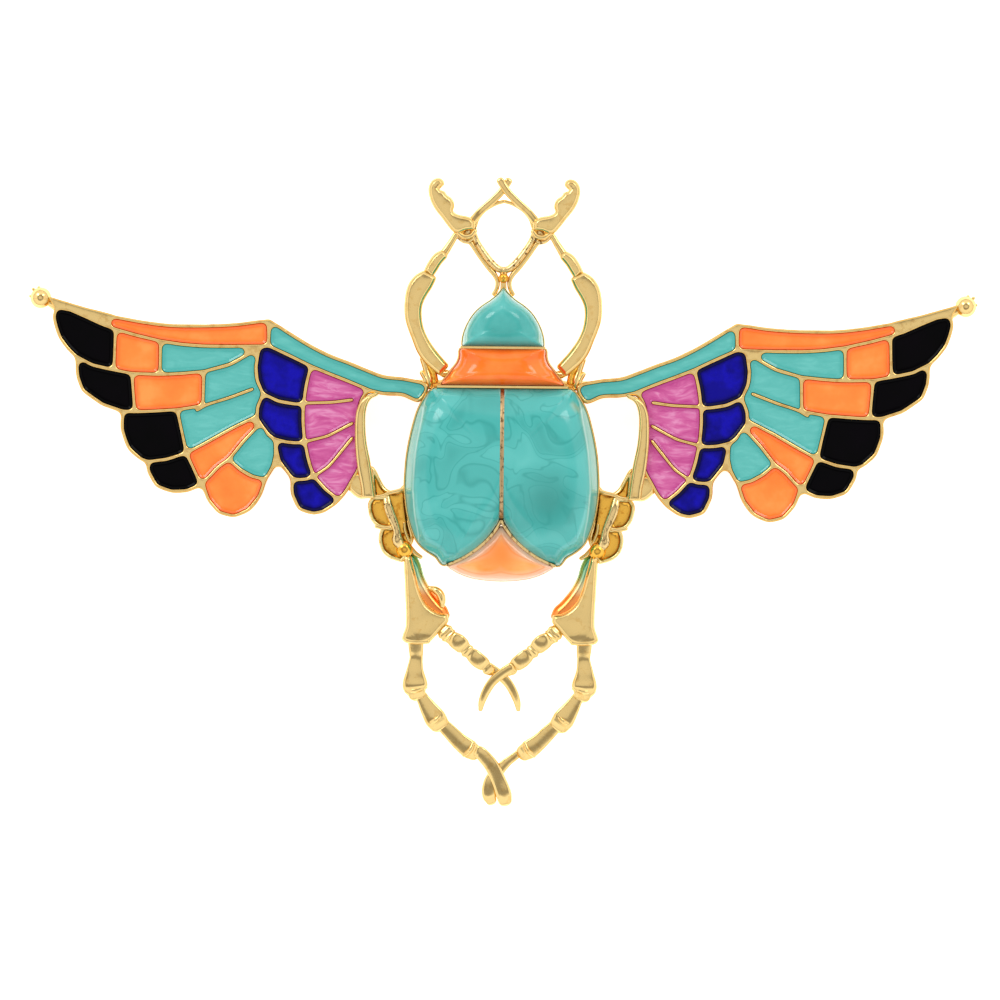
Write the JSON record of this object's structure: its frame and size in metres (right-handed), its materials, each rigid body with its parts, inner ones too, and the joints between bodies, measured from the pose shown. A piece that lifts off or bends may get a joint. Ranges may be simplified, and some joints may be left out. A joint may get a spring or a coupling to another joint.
{
  "type": "winged scarab brooch",
  "caption": "Gold-plated winged scarab brooch: enamelled wings with a ball at each tip, domed enamelled body, crossed fore and hind legs, and a pin behind.",
  "frame": {"origin": "under the middle of the whole brooch, on the surface it lies on", "axes": "+X to the wearer's left along the wings, +Y towards the head and forelegs, +Z out of the front face"},
  "size_m": [0.095, 0.0636, 0.0094],
  "materials": {
    "gold_plate": "polished gold plating on cast zinc alloy",
    "pin_metal": "gold-plated steel wire and lugs, drawn and satin",
    "black_enamel": "glossy poured resin enamel",
    "orange_enamel": "glossy poured resin enamel",
    "turquoise_enamel": "glossy poured resin enamel",
    "pearl_turquoise_enamel": "glossy pearly resin enamel with darker swirls",
    "cobalt_enamel": "glossy poured resin enamel",
    "pink_enamel": "glossy pearly resin enamel"
  },
  "bodies": {
    "root": {"gold_casting": "gold_plate", "brooch_pin": "pin_metal", "head_enamel": "pearl_turquoise_enamel", "shield_enamel": "orange_enamel", "tail_enamel": "orange_enamel", "left_case_enamel": "pearl_turquoise_enamel", "right_case_enamel": "pearl_turquoise_enamel", "left_black_1": "black_enamel", "left_black_2": "black_enamel", "left_black_3": "black_enamel", "left_black_4": "black_enamel", "left_orange_strip": "orange_enamel", "left_orange_1": "orange_enamel", "left_orange_2": "orange_enamel", "left_orange_3": "orange_enamel", "left_orange_4": "orange_enamel", "left_teal_strip": "turquoise_enamel", "left_teal_1": "turquoise_enamel", "left_teal_2": "turquoise_enamel", "left_teal_3": "turquoise_enamel", "left_blue_1": "cobalt_enamel", "left_blue_2": "cobalt_enamel", "left_blue_3": "cobalt_enamel", "left_blue_4": "cobalt_enamel", "left_pink_1": "pink_enamel", "right_black_1": "black_enamel", "right_black_2": "black_enamel", "right_black_3": "black_enamel", "right_black_4": "black_enamel", "right_orange_strip": "orange_enamel", "right_orange_1": "orange_enamel", "right_orange_2": "orange_enamel", "right_orange_3": "orange_enamel", "right_orange_4": "orange_enamel", "right_teal_strip": "turquoise_enamel", "right_teal_1": "turquoise_enamel", "right_teal_2": "turquoise_enamel", "right_teal_3": "turquoise_enamel", "right_blue_1": "cobalt_enamel", "right_blue_2": "cobalt_enamel", "right_blue_3": "cobalt_enamel", "right_blue_4": "cobalt_enamel", "right_pink_1": "pink_enamel"}
  },
  "joints": []
}
